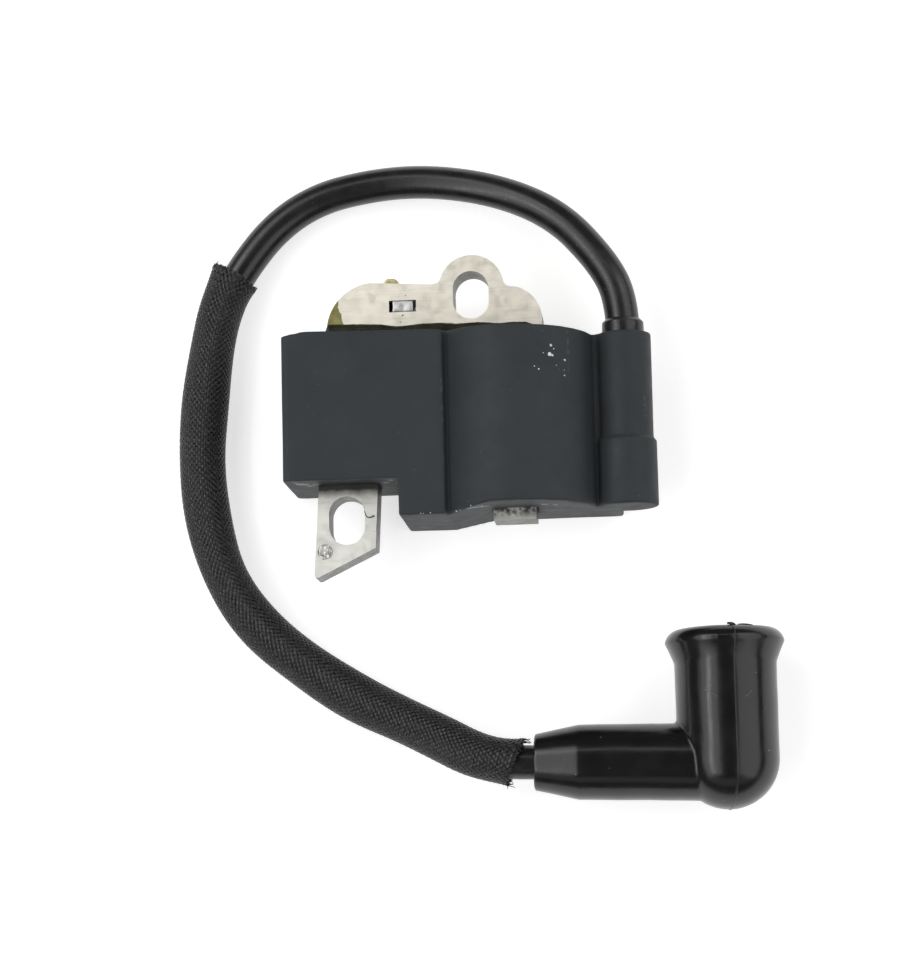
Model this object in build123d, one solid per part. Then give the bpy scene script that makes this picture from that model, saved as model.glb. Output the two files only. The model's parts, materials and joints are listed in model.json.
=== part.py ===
from build123d import *
import math
import os

# A small engine's flywheel ignition coil with its high tension lead and plug boot, in millimetres.
# The coil lies on its flat back at z = 0. +X points to the high tension tower, +Y away from the
# flywheel, and +Z out of the moulded front. The origin is the middle of the coil's own outline.

# ---- driving dimensions -------------------------------------------------------------------------
FLAT = 0.0

# case
BLOCK_LEFT = -27.3
BLOCK_RIGHT = -3.5
BLOCK_FRONT = 17.75
CREASE_X = BLOCK_RIGHT + 0.2
BULGE_FRONT = 21.0
BULGE_R = 12.0
BULGE_CENTRE = (6.5, BULGE_FRONT - BULGE_R)
WEB_FRONT = 11.5
CASE_RIGHT = 21.9
CASE_WALL = 1.2
THIN_WALL = 1.0
RIM_LEFT_Y = 12.15
RIM_RIGHT_Y = 11.2
RIM_CORNER = (3.5, 0.6)
OPEN_TOP = 20.0
BLOCK_BOTTOM = -10.05
NOTCH_X = -10.3
MIDDLE_BOTTOM = -15.6
RAMP_START_X = -3.3
RAMP_END_X = 2.8
CASE_BOTTOM = -14.4
FLOOR_WALL = 1.3
POTTING_TOP = 10.9

# high tension tower
TOWER_X = 22.8
TOWER_Z = 10.0
TOWER_R = 4.05
TOWER_TOP = 11.4
CAP_R = 4.5
CAP_TOP = -4.6
LEAD_SEAT = -2.5
GROMMET_R = 3.1
GROMMET_BOTTOM = 7.0
GROMMET_TOP = 13.6

# laminated core
CORE_BACK = 7.25
SHEET_PITCH = 0.5
SHEET = 0.47
SHEETS = 11
CORE_THICK = SHEETS * SHEET_PITCH
CORE_FRONT = CORE_BACK + CORE_THICK
CORE_MID = CORE_BACK + CORE_THICK / 2
YOKE_BOTTOM = 9.5
SLOT_R = 2.65
SLOT_LENGTH = 7.2
EAR_SLOT = (0.55, 17.7)
LEG_SLOT = (-18.45, -15.4)
EAR_CENTRE = (0.65, 18.95)
EAR_R = 4.8
KEY_CENTRE = (-9.62, 16.4)
KEY_WINDOW = (4.05, 1.75)
KEY_LENGTH = 3.1
STAKE_CENTRE = (-21.75, -19.95)
STAKE_R = 1.1
POLE_LEFT = 3.15
POLE_RIGHT = 9.4
POLE_X = (POLE_LEFT + POLE_RIGHT) / 2
POLE_TIP = -16.1

# coil windings, round the centre leg
COIL_BOTTOM = -12.8
COIL_TOP = 8.8
PRIMARY_HOLE = (POLE_RIGHT - POLE_LEFT + 0.1, CORE_THICK + 0.1)
PRIMARY_WALL = 0.7
PRIMARY_BUILD = 0.75
TAPE = 0.1
PRIMARY_CORNER = 2.4
FLANGE = 1.0
SECONDARY_IN_R = 5.6
SECONDARY_OUT_R = 6.2
SECONDARY_WIRE_R = 7.2
COIL_R = 7.5
CHAMBERS = 6
CHAMBER_WALL = 0.6
LINK_Y = -3.5
LINK_R = 0.4

# electronics
BOARD_X = (-25.3, -6.3)
BOARD_Y = (-7.6, 8.9)
BOARD_Z = (2.0, 3.2)
BOARD_FRONT = BOARD_Z[1]
TERMINAL_X = (-13.2, -10.5)
TERMINAL_THICK = 0.8
TERMINAL_TOP = 21.9
TERMINAL_FOOT = 7.2

# high tension lead and sleeve
LEAD_R = 2.5
CONDUCTOR_R = 0.6
PIN_DEPTH = 6.5
SLEEVE_IN_R = 2.6
SLEEVE_R = 3.6
SLEEVE_START = 78.3
SLEEVE_END = 179.7

# plug boot: the barrel's axis is +Y, and the cable tube leaves the elbow to the left
ELBOW = (36.1, -52.0)
FLARE_R = 8.75
BARREL_R = 7.4
MOUTH = 19.25
LIP_BELOW_MOUTH = 1.9
DOME = 6.9
TUBE_TURN = -1.4
TUBE_LENGTH = 28.15
TUBE_R = 5.7
TUBE_END_R = 4.1
PLUG_BORE_R = 4.75
PLUG_SEAT = 3.2
POCKET_R = 4.0
POCKET_BOTTOM = -4.3
CABLE_CLEARANCE = 0.05
LEAD_END = 8.0
SPRING_WIRE_R = 0.55
SPRING_R = 3.4
SPRING_PITCH = 1.35
SPRING_BOTTOM = -1.9
SPRING_HEIGHT = 4.5
SPIKE_END = 12.0

# The lead's route from the tower's mouth to just inside the boot, where the lead lies free.
ROUTE = [
    (22.8, 11.4, 10.0),
    (22.8, 16.8, 10.0),
    (19.9, 23.0, 9.3),
    (12.9, 31.2, 7.4),
    (1.8, 36.4, 4.6),
    (-11.9, 38.2, 3.0),
    (-26.9, 34.8, 3.3),
    (-37.2, 22.2, 3.7),
    (-40.4, 10.0, 3.7),
    (-41.8, -9.4, 3.7),
    (-36.7, -26.9, 3.7),
    (-21.5, -39.4, 3.7),
    (-8.0, -46.0, 5.3),
    (1.2, -51.15, 8.75),
    (11.7, -51.4, 8.75),
]


# ---- helpers ------------------------------------------------------------------------------------
def along_y(sketch, low, high):
    """Extrude a sketch whose x and y are the part's X and Z, from y = low to y = high."""
    return extrude(Plane.XZ.offset(-high) * sketch, amount=high - low)


def along_z(sketch, low, high):
    """Extrude a sketch in X and Y from z = low to z = high."""
    return extrude(Pos(0, 0, low) * sketch, amount=high - low)


def rod_y(x, z, radius, low, high):
    """A round bar parallel to Y."""
    return along_y(Pos(x, z) * Circle(radius), low, high)


def block(x, y, z):
    """A box from three (low, high) pairs."""
    middle = Pos((x[0] + x[1]) / 2, (y[0] + y[1]) / 2, (z[0] + z[1]) / 2)
    return middle * Box(x[1] - x[0], y[1] - y[0], z[1] - z[0])


def bar(start, end, radius):
    """A round bar between two points."""
    run = Vector(*end) - Vector(*start)
    return extrude(Plane(origin=start, z_dir=run) * Circle(radius), amount=run.length)


def bent_wire(points, radius):
    """Round wire along straight runs, with a ball at each bend."""
    wire = bar(points[0], points[1], radius)
    for start, end in zip(points[1:], points[2:]):
        wire += Pos(*start) * Sphere(radius)
        wire += bar(start, end, radius)
    return wire


def closed_face(points):
    """A flat face inside straight edges."""
    return make_face(Polyline(*points, close=True))


# ---- case ---------------------------------------------------------------------------------------
def bulge_arc(radius, left_x):
    """An arc of this radius over the bulge, from a place on its left flank down to the web."""
    x, z = BULGE_CENTRE
    left = (left_x, z + math.sqrt(radius**2 - (left_x - x) ** 2))
    right = (x + math.sqrt(radius**2 - (WEB_FRONT - z) ** 2), WEB_FRONT)
    return left, ThreePointArc(left, (x, z + radius), right), right


def case_section():
    """The case's outer section across Y, without the tower: block, bulge and web."""
    crease, arc, web = bulge_arc(BULGE_R, CREASE_X)
    edges = Polyline(
        web,
        (CASE_RIGHT, WEB_FRONT),
        (CASE_RIGHT, FLAT),
        (BLOCK_LEFT, FLAT),
        (BLOCK_LEFT, BLOCK_FRONT),
        (BLOCK_RIGHT, BLOCK_FRONT),
        crease,
    )
    section = make_face(edges + arc)
    for corner, radius in [
        ((BLOCK_LEFT, FLAT), 0.9),
        ((BLOCK_LEFT, BLOCK_FRONT), 0.9),
        ((BLOCK_RIGHT, BLOCK_FRONT), 0.5),
        (crease, 0.3),
        ((CASE_RIGHT, FLAT), 1.0),
    ]:
        vertex = section.vertices().sort_by_distance(corner)[0]
        section = fillet(vertex, radius)
    return section


def cavity_section():
    """The section of the space inside the case."""
    step, arc, web = bulge_arc(BULGE_R - CASE_WALL, BLOCK_RIGHT)
    edges = Polyline(
        web,
        (web[0], CASE_WALL),
        (BLOCK_LEFT + CASE_WALL, CASE_WALL),
        (BLOCK_LEFT + CASE_WALL, BLOCK_FRONT - CASE_WALL),
        (BLOCK_RIGHT - THIN_WALL, BLOCK_FRONT - CASE_WALL),
        (BLOCK_RIGHT - THIN_WALL, step[1]),
        step,
    )
    return make_face(edges + arc)


def stepped_outline(inset, top):
    """The case seen from the front: its stepped bottom raised by inset, and a top from right to left."""
    return closed_face([
        (BLOCK_LEFT, BLOCK_BOTTOM + inset),
        (NOTCH_X + inset, BLOCK_BOTTOM + inset),
        (NOTCH_X + inset, MIDDLE_BOTTOM + inset),
        (RAMP_START_X, MIDDLE_BOTTOM + inset),
        (RAMP_END_X, CASE_BOTTOM + inset),
        (CASE_RIGHT, CASE_BOTTOM + inset),
        *top,
    ])


def cavity():
    """Everything inside the case's walls, up to above the rim."""
    column = along_y(cavity_section(), MIDDLE_BOTTOM, OPEN_TOP)
    top = [(CASE_RIGHT, OPEN_TOP), (BLOCK_LEFT, OPEN_TOP)]
    return column & along_z(stepped_outline(FLOOR_WALL, top), FLAT, BULGE_FRONT)


def case_shell():
    """The moulded cup with the tower on its right side, open at the yoke side."""
    column = along_y(case_section(), MIDDLE_BOTTOM, OPEN_TOP)
    rim = [
        (CASE_RIGHT, RIM_RIGHT_Y),
        (BLOCK_LEFT + RIM_CORNER[0], RIM_LEFT_Y),
        (BLOCK_LEFT, RIM_LEFT_Y - RIM_CORNER[1]),
    ]
    shell = column & along_z(stepped_outline(0, rim), FLAT, BULGE_FRONT)
    shell += rod_y(TOWER_X, TOWER_Z, TOWER_R, CAP_TOP, TOWER_TOP)
    shell += rod_y(TOWER_X, TOWER_Z, CAP_R, CASE_BOTTOM, CAP_TOP)
    shell -= cavity()
    shell -= core_block()
    shell -= rod_y(TOWER_X, TOWER_Z, LEAD_R, LEAD_SEAT, TOWER_TOP)
    shell -= rod_y(TOWER_X, TOWER_Z, GROMMET_R, GROMMET_BOTTOM, TOWER_TOP)
    shell -= ht_terminal()
    shell -= ht_link()
    return shell


def lead_grommet():
    """The collar that seals the lead in the tower's mouth."""
    collar = rod_y(TOWER_X, TOWER_Z, GROMMET_R, GROMMET_BOTTOM, GROMMET_TOP)
    collar = chamfer(collar.edges().sort_by(Axis.Y)[-1], 0.5)
    return collar - rod_y(TOWER_X, TOWER_Z, LEAD_R, GROMMET_BOTTOM, GROMMET_TOP)


# ---- core ---------------------------------------------------------------------------------------
def core_outline():
    """One sheet: the yoke with its screw ear, the long left leg and the centre leg."""
    left_end = ThreePointArc((-20.95, 13.6), (-19.16, 17.7), (-14.6, 20.1))
    yoke_top = Line((-14.6, 20.1), (6.9, 18.75))
    right_end = ThreePointArc((6.9, 18.75), (9.75, 17.1), (11.0, 13.3))
    legs = Polyline(
        (11.0, 13.3),
        (11.0, YOKE_BOTTOM),
        (POLE_RIGHT, YOKE_BOTTOM),
        (POLE_RIGHT, POLE_TIP),
        (POLE_LEFT, POLE_TIP),
        (POLE_LEFT, YOKE_BOTTOM),
        (-12.7, YOKE_BOTTOM),
        (-14.3, -19.6),
        (-22.85, -23.75),
        (-23.2, -23.75),
        (-23.4, -23.4),
        (-20.95, 13.6),
    )
    outline = make_face(left_end + yoke_top + right_end + legs)
    outline += Pos(*EAR_CENTRE) * Circle(EAR_R)
    for side in (-1, 1):
        root = (EAR_CENTRE[0] + side * EAR_R, EAR_CENTRE[1])
        vertex = outline.vertices().sort_by_distance(root)[0]
        outline = fillet(vertex, 1.3)
    return outline


def core_block():
    """The whole stack as one solid, with no holes."""
    return along_z(core_outline(), CORE_BACK, CORE_FRONT)


def core_laminations():
    """The stamped sheets, with screw slots, the key's window and the stake's hole."""
    sheet = core_outline()
    for slot in (EAR_SLOT, LEG_SLOT):
        sheet -= Pos(*slot) * SlotOverall(SLOT_LENGTH, 2 * SLOT_R, rotation=90)
    sheet -= Pos(*KEY_CENTRE) * Rectangle(*KEY_WINDOW)
    sheet -= Pos(*STAKE_CENTRE) * Circle(STAKE_R)
    sheets = []
    for i in range(SHEETS):
        low = CORE_BACK + i * SHEET_PITCH
        thick = SHEET_PITCH if i == SHEETS - 1 else SHEET
        sheets.append(along_z(sheet, low, low + thick))
    return Compound(children=sheets)


def core_key():
    """The interlock key that locks the sheets together in the yoke."""
    return along_z(Pos(*KEY_CENTRE) * Rectangle(KEY_LENGTH, KEY_WINDOW[1]), CORE_BACK, CORE_FRONT)


def core_stake():
    """The stake through the tip of the left leg, headed a little at both ends."""
    shank = along_z(Pos(*STAKE_CENTRE) * Circle(STAKE_R), CORE_BACK - 0.1, CORE_FRONT + 0.1)
    return chamfer(shank.edges().filter_by(GeomType.CIRCLE), 0.08)


# ---- windings -----------------------------------------------------------------------------------
def rounded_tube(outer, corner, low, high):
    """A bar along Y round the centre leg, with a rounded rectangular section."""
    return along_y(Pos(POLE_X, CORE_MID) * RectangleRounded(*outer, corner), low, high)


def grown(size, by):
    """A (width, depth) pair made larger all round."""
    return (size[0] + 2 * by, size[1] + 2 * by)


def primary_bobbin():
    """The inner bobbin, a rectangular tube with a flange at each end."""
    tube = grown(PRIMARY_HOLE, PRIMARY_WALL)
    flange = grown(tube, PRIMARY_BUILD + TAPE + 0.1)
    bobbin = rounded_tube(tube, 1.2, COIL_BOTTOM, COIL_TOP)
    bobbin += rounded_tube(flange, PRIMARY_CORNER, COIL_BOTTOM, COIL_BOTTOM + FLANGE)
    bobbin += rounded_tube(flange, PRIMARY_CORNER, COIL_TOP - FLANGE, COIL_TOP)
    hole = along_y(Pos(POLE_X, CORE_MID) * Rectangle(*PRIMARY_HOLE), COIL_BOTTOM, COIL_TOP)
    return bobbin - hole


def primary_layer(inner, outer, inner_corner, outer_corner):
    """A layer of the primary, from one rounded section out to another."""
    low = COIL_BOTTOM + FLANGE
    high = COIL_TOP - FLANGE
    return rounded_tube(outer, outer_corner, low, high) - rounded_tube(inner, inner_corner, low, high)


def primary_winding():
    tube = grown(PRIMARY_HOLE, PRIMARY_WALL)
    return primary_layer(tube, grown(tube, PRIMARY_BUILD), 1.2, PRIMARY_CORNER)


def insulation_tape():
    wound = grown(PRIMARY_HOLE, PRIMARY_WALL + PRIMARY_BUILD)
    return primary_layer(wound, grown(wound, TAPE), PRIMARY_CORNER, PRIMARY_CORNER)


def chamber_walls():
    """The (low, high) of each of the secondary bobbin's walls along Y."""
    pitch = (COIL_TOP - COIL_BOTTOM - CHAMBER_WALL) / CHAMBERS
    lows = [COIL_BOTTOM + i * pitch for i in range(CHAMBERS + 1)]
    return [(low, low + CHAMBER_WALL) for low in lows]


def secondary_bobbin():
    """The outer bobbin, divided into chambers that share the high voltage."""
    bobbin = rod_y(POLE_X, CORE_MID, SECONDARY_OUT_R, COIL_BOTTOM, COIL_TOP)
    for low, high in chamber_walls():
        bobbin += rod_y(POLE_X, CORE_MID, COIL_R, low, high)
    return bobbin - rod_y(POLE_X, CORE_MID, SECONDARY_IN_R, COIL_BOTTOM, COIL_TOP)


def secondary_winding():
    """Fine wire, one filled ring in each chamber."""
    walls = chamber_walls()
    rings = []
    for lower, upper in zip(walls, walls[1:]):
        ring = rod_y(POLE_X, CORE_MID, SECONDARY_WIRE_R, lower[1], upper[0])
        rings.append(ring - rod_y(POLE_X, CORE_MID, SECONDARY_OUT_R, lower[1], upper[0]))
    return Compound(children=rings)


def coil_envelope():
    """The round space that the two bobbins and windings fill."""
    return rod_y(POLE_X, CORE_MID, COIL_R, COIL_BOTTOM, COIL_TOP)


def ht_terminal():
    """The head at the bottom of the tower, and the pin that enters the lead's core."""
    head = rod_y(TOWER_X, TOWER_Z, 1.5, LEAD_SEAT - 2, LEAD_SEAT)
    return head + rod_y(TOWER_X, TOWER_Z, CONDUCTOR_R, LEAD_SEAT, LEAD_SEAT + PIN_DEPTH)


def ht_link():
    """The link from the secondary winding to the terminal's head."""
    start = (POLE_X + SECONDARY_WIRE_R, LINK_Y, CORE_MID)
    return bar(start, (TOWER_X - 1.5, LINK_Y, CORE_MID), LINK_R)


# ---- electronics --------------------------------------------------------------------------------
def circuit_board():
    return block(BOARD_X, BOARD_Y, BOARD_Z)


def film_capacitor():
    """A boxed film capacitor between the two legs, on two stub leads."""
    body = fillet(block((-12.2, -6.3), (-6.2, 6.0), (3.8, 13.4)).edges(), 0.5)
    for y in (-3.8, 3.6):
        body += bar((-9.3, y, BOARD_FRONT), (-9.3, y, 4.2), 0.3)
    return body


def axial_part(x, y, radius, length):
    """A barrel-shaped component with a lead bent down to the board at each end."""
    z = BOARD_FRONT + 0.3 + radius
    reach = length / 2 + 0.9
    ends = [(x - reach, y, BOARD_FRONT), (x - reach, y, z), (x + reach, y, z), (x + reach, y, BOARD_FRONT)]
    body = bar((x - length / 2, y, z), (x + length / 2, y, z), radius)
    body = fillet(body.edges().filter_by(GeomType.CIRCLE), 0.3)
    return body + bent_wire(ends, 0.28)


def resistors():
    return Compound(children=[axial_part(-21.4, y, 1.1, 4.6) for y in (-5.6, -2.4)])


def diodes():
    return Compound(children=[axial_part(-15.1, y, 1.2, 3.0) for y in (-5.6, -2.2)])


def switching_transistor():
    """A half-round plastic package lying on the board, with three leads."""
    body = block((-23.6, -19.0), (2.4, 7.0), (BOARD_FRONT + 0.2, BOARD_FRONT + 3.6))
    body = fillet(body.edges().filter_by(Axis.Y).group_by(Axis.Z)[-1], 1.4)
    for x in (-22.57, -21.3, -20.03):
        body += bent_wire([(x, 2.6, 4.4), (x, 1.2, 4.4), (x, 1.2, BOARD_FRONT)], 0.25)
    return body


def control_chip():
    """A surface-mount package with four flat leads on each side."""
    chip = fillet(block((-17.0, -13.4), (0.9, 5.9), (3.35, 4.85)).edges().filter_by(Axis.Z), 0.2)
    for i in range(4):
        y = 1.5 + 1.27 * i
        for x in ((-17.9, -16.9), (-13.5, -12.6)):
            chip += block(x, (y - 0.2, y + 0.2), (BOARD_FRONT, BOARD_FRONT + 0.35))
    return chip


def ground_strap():
    """The strip that joins the core's back to the board."""
    return block((-19.6, -17.6), (8.0, 8.3), (BOARD_FRONT, CORE_BACK))


def stop_terminal():
    """The spade behind the yoke for the engine's stop wire, with its foot on the board."""
    z = (CORE_BACK - TERMINAL_THICK, CORE_BACK)
    blade = block(TERMINAL_X, (TERMINAL_FOOT, TERMINAL_TOP), z)
    blade = fillet(blade.edges().filter_by(Axis.Z).group_by(Axis.Y)[-1], 1.2)
    return blade + block(TERMINAL_X, (TERMINAL_FOOT, TERMINAL_FOOT + TERMINAL_THICK), (BOARD_FRONT, z[1]))


def primary_wires():
    """The two ends of the primary, brought from its flange to the board."""
    far = bent_wire([(2.6, 8.95, 6.4), (-3.4, 8.95, 6.2), (-7.4, 8.1, BOARD_FRONT)], 0.14)
    near = bent_wire([(2.6, 8.95, 5.6), (-3.4, 8.95, 5.0), (-7.4, 7.0, BOARD_FRONT)], 0.14)
    return Compound(children=[far, near])


def potting_resin():
    """Cast resin that fills the case round everything in it."""
    resin = cavity() & block((BLOCK_LEFT, CASE_RIGHT), (MIDDLE_BOTTOM, POTTING_TOP), (FLAT, BULGE_FRONT))
    for inner in (core_block(), coil_envelope(), circuit_board(), film_capacitor(), switching_transistor(),
                  control_chip(), ground_strap(), stop_terminal(), ht_link()):
        resin -= inner
    for group in (resistors(), diodes(), primary_wires()):
        for inner in group.solids():
            resin -= inner
    return resin


# ---- high tension lead --------------------------------------------------------------------------
def route_radii():
    """Each corner's radius: 0.45 of the shorter run beside it, over the tangent of half the turn."""
    points = [Vector(*p) for p in ROUTE]
    runs = [end - start for start, end in zip(points, points[1:])]
    radii = []
    for before, after in zip(runs, runs[1:]):
        half_turn = math.radians(before.get_angle(after)) / 2
        radii.append(0.45 * min(before.length, after.length) / math.tan(half_turn))
    return radii


def route_wire():
    """The free stretch of the lead's centreline, as straight runs joined by tangent arcs."""
    return Wire(FilletPolyline(*ROUTE, radius=route_radii()).edges())


def tube_point(distance, side=0.0):
    """A point on the boot's cable axis, so far from the elbow, moved aside along the barrel."""
    turn = math.radians(TUBE_TURN)
    return (ELBOW[0] - distance * math.cos(turn), ELBOW[1] - distance * math.sin(turn) + side, FLARE_R)


def swept_rod(path, radius):
    """A round bar along a path."""
    return sweep(Plane(origin=path @ 0, z_dir=path % 0) * Circle(radius), path=path)


def lead_path(tower_y, boot_distance):
    """The lead's centreline in one wire, from a level in the tower to a distance from the boot's elbow."""
    mouth = Vector(*ROUTE[-1])
    last_run = mouth - Vector(*ROUTE[-2])
    inside = (Vector(*tube_point(boot_distance)) - mouth).length
    end = mouth + last_run.normalized() * inside
    corners = [(TOWER_X, tower_y, TOWER_Z), *ROUTE[1:-1], end]
    return Wire(FilletPolyline(*corners, radius=route_radii()).edges())


def ht_lead_conductor():
    return swept_rod(lead_path(LEAD_SEAT + PIN_DEPTH, SPIKE_END + 0.6), CONDUCTOR_R)


def ht_lead_jacket():
    """The lead's insulation, bored for the conductor and for the pin and spike at its ends."""
    path = lead_path(LEAD_SEAT, LEAD_END)
    return swept_rod(path, LEAD_R) - swept_rod(path, CONDUCTOR_R)


def protective_sleeve():
    """The woven sleeve, a plain tube along its stretch of the lead."""
    whole = route_wire()
    path = whole.trim(SLEEVE_START / whole.length, SLEEVE_END / whole.length)
    return swept_rod(path, SLEEVE_R) - swept_rod(path, SLEEVE_IN_R)


# ---- plug boot ----------------------------------------------------------------------------------
def at_elbow():
    """The boot's own frame: origin where the barrel's and tube's axes cross."""
    return Pos(ELBOW[0], ELBOW[1], FLARE_R)


def barrel():
    """The plug end: a flared lip, a straight barrel and a domed bottom, turned about Y."""
    lip_inner = (6.0, MOUTH)
    widest = (FLARE_R, MOUTH - LIP_BELOW_MOUTH)
    neck = (BARREL_R + 0.05, MOUTH - 4.9)
    lip = ThreePointArc(lip_inner, (8.05, MOUTH - 0.6), widest)
    flare = ThreePointArc(widest, (7.95, MOUTH - 3.6), neck)
    dome_y = BARREL_R - DOME
    side = Line(neck, (BARREL_R, dome_y))
    slope = math.radians(45)
    dome = ThreePointArc(
        (BARREL_R, dome_y),
        (BARREL_R * math.cos(slope), dome_y - BARREL_R * math.sin(slope)),
        (0, -DOME),
    )
    axis = Polyline((0, -DOME), (0, MOUTH), lip_inner)
    return revolve(make_face(lip + flare + side + dome + axis), Axis.Y)


def cable_tube():
    """The cable end, turned about X and tapered to its mouth, then swung to the lead's line."""
    profile = closed_face([
        (0, 0),
        (-TUBE_LENGTH, 0),
        (-TUBE_LENGTH, TUBE_END_R),
        (-TUBE_LENGTH + 6.4, TUBE_R - 0.25),
        (0, TUBE_R),
    ])
    return Rot(Z=TUBE_TURN) * revolve(profile, Axis.X)


def boot_shell():
    """The rubber boot, with the plug's bore, the spring's pocket and the cable's bore."""
    shell = at_elbow() * (barrel() + cable_tube())
    shell -= at_elbow() * rod_y(0, 0, PLUG_BORE_R, PLUG_SEAT, MOUTH)
    shell -= at_elbow() * rod_y(0, 0, POCKET_R, POCKET_BOTTOM, PLUG_SEAT)
    return shell - bar(tube_point(TUBE_LENGTH + 1), tube_point(2.0), LEAD_R + CABLE_CLEARANCE)


def plug_spring():
    """The spring that grips the plug's terminal. Its leg runs into the end of the lead."""
    helix = Helix(pitch=SPRING_PITCH, height=SPRING_HEIGHT, radius=SPRING_R)
    coil = sweep(Plane(origin=helix @ 0, z_dir=helix % 0) * Circle(SPRING_WIRE_R), path=helix, is_frenet=True)
    coil = at_elbow() * Pos(0, SPRING_BOTTOM, 0) * Rot(X=-90) * Rot(Z=180) * coil
    start = (ELBOW[0] - SPRING_R, ELBOW[1] + SPRING_BOTTOM, FLARE_R)
    leg = [start, tube_point(4.7, SPRING_BOTTOM), tube_point(6.4), tube_point(SPIKE_END)]
    return coil + Pos(*start) * Sphere(SPRING_WIRE_R) + bent_wire(leg, SPRING_WIRE_R)


# ---- every node ---------------------------------------------------------------------------------
NODES = [
    case_shell,
    potting_resin,
    core_laminations,
    core_key,
    core_stake,
    primary_bobbin,
    primary_winding,
    insulation_tape,
    secondary_bobbin,
    secondary_winding,
    ht_link,
    ht_terminal,
    circuit_board,
    film_capacitor,
    resistors,
    diodes,
    switching_transistor,
    control_chip,
    ground_strap,
    stop_terminal,
    primary_wires,
    lead_grommet,
    ht_lead_jacket,
    ht_lead_conductor,
    protective_sleeve,
    boot_shell,
    plug_spring,
]


def main():
    os.makedirs("parts", exist_ok=True)
    print("route radii", [round(radius, 1) for radius in route_radii()])
    free = route_wire().length
    print("free length", round(free, 1))
    section = math.pi * (LEAD_R**2 - CONDUCTOR_R**2)
    inside = ROUTE[0][1] - LEAD_SEAT + (Vector(*ROUTE[-1]) - Vector(*tube_point(LEAD_END))).length
    print("jacket section times length", round(section * (free + inside), 1))
    for make in NODES:
        part = make()
        part.label = make.__name__
        export_step(part, f"parts/{make.__name__}.step")


main()
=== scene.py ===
import json
import math
import random

import bmesh
import bpy
import numpy as np
from mathutils import Matrix, Vector, noise
from mathutils.bvhtree import BVHTree


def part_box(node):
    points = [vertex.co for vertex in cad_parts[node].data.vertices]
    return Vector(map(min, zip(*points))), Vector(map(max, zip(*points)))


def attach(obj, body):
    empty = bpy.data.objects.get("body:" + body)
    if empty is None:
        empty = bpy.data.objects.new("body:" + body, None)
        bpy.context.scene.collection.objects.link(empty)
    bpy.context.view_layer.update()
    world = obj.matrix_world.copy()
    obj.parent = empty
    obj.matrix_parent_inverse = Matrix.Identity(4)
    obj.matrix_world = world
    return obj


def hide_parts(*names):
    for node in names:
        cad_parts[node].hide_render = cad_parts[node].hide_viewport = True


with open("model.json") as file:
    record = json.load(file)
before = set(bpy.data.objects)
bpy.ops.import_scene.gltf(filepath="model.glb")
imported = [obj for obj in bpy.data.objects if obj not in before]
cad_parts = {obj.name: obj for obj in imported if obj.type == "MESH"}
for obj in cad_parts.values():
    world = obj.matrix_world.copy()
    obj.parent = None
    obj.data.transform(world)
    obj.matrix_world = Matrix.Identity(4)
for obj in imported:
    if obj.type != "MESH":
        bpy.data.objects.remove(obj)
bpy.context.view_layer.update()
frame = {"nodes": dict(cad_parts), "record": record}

# A flywheel ignition coil lying on its back, seen from above its front. Everything is in metres, in
# the part's own frame: +X to the high tension tower, +Y to the yoke, +Z out of the moulded front.
MM = 0.001
YOKE_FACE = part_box("core_laminations")[1].z

# ---- camera -------------------------------------------------------------------------------------
CAMERA_PLACE = Vector((0.03226, -0.07898, 0.45081))
CAMERA_FORWARD = Vector((-0.0796, 0.1549, -0.9847))
CAMERA_UP = Vector((0.0351, 0.9877, 0.1525))
CAMERA_LENS = 113.5

# ---- high tension lead, in the order tower to boot ----------------------------------------------
ROUTE = [
    (0.0228, 0.0114, 0.0100),
    (0.0228, 0.0168, 0.0100),
    (0.0199, 0.0230, 0.0093),
    (0.0129, 0.0312, 0.0074),
    (0.0018, 0.0364, 0.0046),
    (-0.0119, 0.0382, 0.0030),
    (-0.0269, 0.0348, 0.0033),
    (-0.0372, 0.0222, 0.0037),
    (-0.0404, 0.0100, 0.0037),
    (-0.0418, -0.0094, 0.0037),
    (-0.0367, -0.0269, 0.0037),
    (-0.0215, -0.0394, 0.0037),
    (-0.0080, -0.0460, 0.0053),
    (0.0012, -0.05115, 0.00875),
    (0.0117, -0.0514, 0.00875),
]
LEAD_END = (0.0281, -0.0518, 0.00875)
LEAD_R = 2.5 * MM
CONDUCTOR_R = 0.6 * MM

# ---- sleeve -------------------------------------------------------------------------------------
SLEEVE_START = 78.1 * MM
SLEEVE_END = 178.9 * MM
SLEEVE_R = 3.38 * MM
STRANDS = 24
STRAND_WIDTH = 0.60 * MM
STRAND_ARCH = 0.09 * MM
WEAVE_DEPTH = 0.08 * MM
BRAID_PITCH = 21.6 * MM
SAMPLES_PER_CROSSING = 4

# ---- boot ---------------------------------------------------------------------------------------
ELBOW = Vector((0.0361, -0.0520, 0.00875))
MOUTH = 19.25 * MM
LIP_R = 8.75 * MM
LIP_BELOW_MOUTH = 1.9 * MM
SEAM_ANGLE = math.radians(9.6)
BOOT_SCRATCHES = [
    [(33.0, -42.0), (33.7, -42.4), (34.8, -43.1)],
    [(38.8, -43.2), (39.3, -42.8), (39.65, -42.3)],
]


# ---- helpers: objects ---------------------------------------------------------------------------
def link(name, data):
    """A new object in the scene that holds this data."""
    piece = bpy.data.objects.new(name, data)
    bpy.context.scene.collection.objects.link(piece)
    return piece


def finished(piece, body, slot, look, *replaced):
    """Give a piece its material and its body, and hide the CAD nodes it stands for. The slot argument is
    not used.
    """
    piece.data.materials.clear()
    piece.data.materials.append(look)
    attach(piece, body)
    if replaced:
        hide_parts(*replaced)
    return piece


def shade_smooth(mesh):
    mesh.polygons.foreach_set("use_smooth", [True] * len(mesh.polygons))
    mesh.update()


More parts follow.
